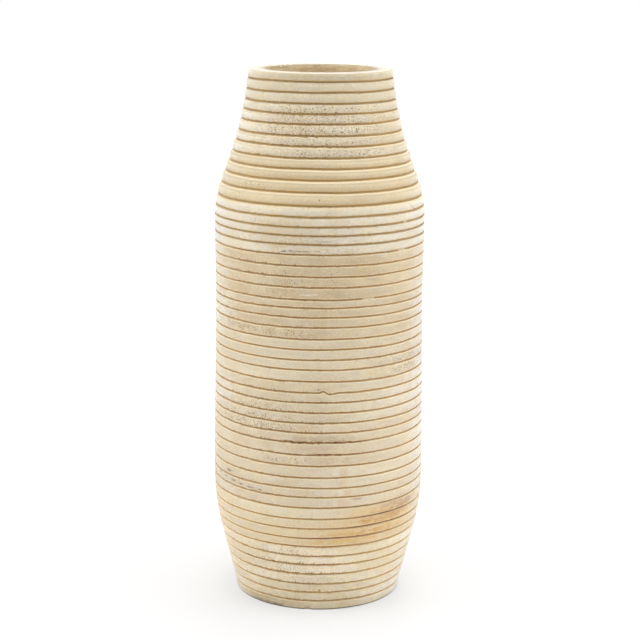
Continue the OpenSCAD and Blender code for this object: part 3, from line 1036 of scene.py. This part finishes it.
    # Relief
    height = g.total(
        g.times(pores, -PORE_DEPTH),
        g.times(fine_dots, -FINE_PORE_DEPTH),
        g.times(g.times(speckle, where), SPECKLE_HEIGHT),
        g.times(fibres, FIBRE_HEIGHT),
        g.times(lines, LINE_HEIGHT),
        g.times(g.times(bored, well), BORED_HEIGHT),
    )
    bump = g.add("Bump", {"Strength": 1.0, "Distance": 1.0, "Height": height})
    roughness = g.total(
        0.62,
        g.times(tone, 0.04),
        g.times(fine_dots, 0.12),
        g.times(lines, 0.02),
        g.times(well, 0.12),
    )
    shader = g.add("BsdfPrincipled", {
        "Base Color": colour, "Roughness": roughness, "Normal": bump.outputs[0],
        "Specular IOR Level": 0.70, "Sheen Weight": marks_and_painted_light["sheen"], "Sheen Roughness": 0.35})
    g.add("OutputMaterial", {"Surface": shader.outputs[0]})
    return g.material


bore = bore_radius("foot_ring_lower")
for index, name in enumerate(BOARDS):
    board(name, index, bore)


# Floor, backdrop, lights and camera


# The floor as it lights the vase and as the camera sees it, and its glow near the vase
FLOOR_ALBEDO = 0.80
FLOOR_SEEN = 0.36
FLOOR_GLOW = 0.56
GLOW_START = 0.20
GLOW_END = 0.70


def grey(value):
    return value, value, value, 1


def floor_material():
    """A white floor, which lights the vase plainly, and which the camera sees as white
    but for the vase's shadow."""
    g = Nodes("studio_floor")
    plain = g.add("BsdfDiffuse", {"Color": grey(FLOOR_ALBEDO)}).outputs[0]
    seen = g.add("BsdfDiffuse", {"Color": grey(FLOOR_SEEN)}).outputs[0]
    position = g.add("TexCoord", {}).outputs["Object"]
    strength = g.ramp(g.length(position), GLOW_START, GLOW_END, FLOOR_GLOW, 1.0)
    glow = g.add("Emission", {"Color": grey(1), "Strength": strength}).outputs[0]
    seen = g.add("AddShader", {0: seen, 1: glow}).outputs[0]
    path = g.add("LightPath", {}).outputs
    to_viewer = g.math("MAXIMUM", path["Is Camera Ray"], path["Is Glossy Ray"])
    to_viewer = g.math("MAXIMUM", to_viewer, path["Is Transmission Ray"])
    surface = g.add("MixShader", {0: to_viewer, 1: plain, 2: seen}).outputs[0]
    g.add("OutputMaterial", {"Surface": surface})
    return g.material


FLOOR_HALF = 6.0
corners = [(-1, -1), (1, -1), (1, 1), (-1, 1)]
floor_mesh = bpy.data.meshes.new("studio_floor")
floor_mesh.from_pydata(
    [(x * FLOOR_HALF, y * FLOOR_HALF, cad_box[0][2]) for x, y in corners], [], [(0, 1, 2, 3)])
floor_mesh.materials.append(floor_material())
floor = bpy.data.objects.new("studio_floor", floor_mesh)
bpy.context.scene.collection.objects.link(floor)


# Strength of the plain light from all around
AMBIENT = 0.232


def studio_world():
    """Plain light from all around, and a white background."""
    world = bpy.data.worlds.new("studio_world")
    world.use_nodes = True
    tree = world.node_tree
    tree.nodes.clear()
    output = tree.nodes.new("ShaderNodeOutputWorld")
    path = tree.nodes.new("ShaderNodeLightPath")
    backgrounds = []
    for strength in (AMBIENT, 1.0):
        background = tree.nodes.new("ShaderNodeBackground")
        background.inputs["Strength"].default_value = strength
        background.inputs["Color"].default_value = grey(1)
        backgrounds.append(background)
    seen = path.outputs["Is Camera Ray"]
    for other in ("Is Glossy Ray", "Is Transmission Ray"):
        either = tree.nodes.new("ShaderNodeMath")
        either.operation = "MAXIMUM"
        tree.links.new(seen, either.inputs[0])
        tree.links.new(path.outputs[other], either.inputs[1])
        seen = either.outputs[0]
    mix = tree.nodes.new("ShaderNodeMixShader")
    tree.links.new(seen, mix.inputs[0])
    tree.links.new(backgrounds[0].outputs[0], mix.inputs[1])
    tree.links.new(backgrounds[1].outputs[0], mix.inputs[2])
    tree.links.new(mix.outputs[0], output.inputs["Surface"])
    bpy.context.scene.world = world


# Middle of the vase, which the soft boxes face
MIDDLE = Vector((0, 0, 0.20))
# Soft boxes: place, width, height and watts
SOFTBOXES = {
    "top": ((0.15, 0.10, 1.80), 1.2, 1.2, 28.0),
    "left": ((-1.45, -0.25, 0.90), 1.2, 1.2, 13.0),
    "right": ((1.45, -0.30, 0.45), 1.2, 1.2, 9.5),
    "front": ((0.10, -2.10, 1.30), 1.2, 0.8, 6.5),
    "back": ((0.00, 1.80, 1.10), 1.2, 1.0, 9.0),
}


def softbox(name, place, width, height, watts):
    lamp = bpy.data.lights.new(name + "_softbox", "AREA")
    lamp.shape = "RECTANGLE"
    lamp.size, lamp.size_y = width, height
    lamp.energy = watts
    light = bpy.data.objects.new(name + "_softbox", lamp)
    light.location = place
    light.rotation_euler = (MIDDLE - Vector(place)).to_track_quat("-Z", "Y").to_euler()
    light.visible_camera = False
    bpy.context.scene.collection.objects.link(light)


studio_world()
for name, settings in SOFTBOXES.items():
    softbox(name, *settings)

lens = bpy.data.cameras.new("photo_camera")
lens.sensor_fit = "HORIZONTAL"
lens.sensor_width = SENSOR_WIDTH_MM
lens.lens = FOCAL_LENGTH_PX / IMAGE_WIDTH_PX * SENSOR_WIDTH_MM
camera = bpy.data.objects.new("photo_camera", lens)
camera.matrix_world = (
    Matrix.Translation((CAMERA_SIDE, -CAMERA_DISTANCE, CAMERA_HEIGHT))
    @ Matrix.Rotation(math.radians(90 - CAMERA_PITCH), 4, "X")
    @ Matrix.Rotation(math.radians(CAMERA_ROLL), 4, "Z")
)
bpy.context.scene.collection.objects.link(camera)
bpy.context.scene.camera = camera
bpy.context.scene.view_settings.view_transform = "Standard"
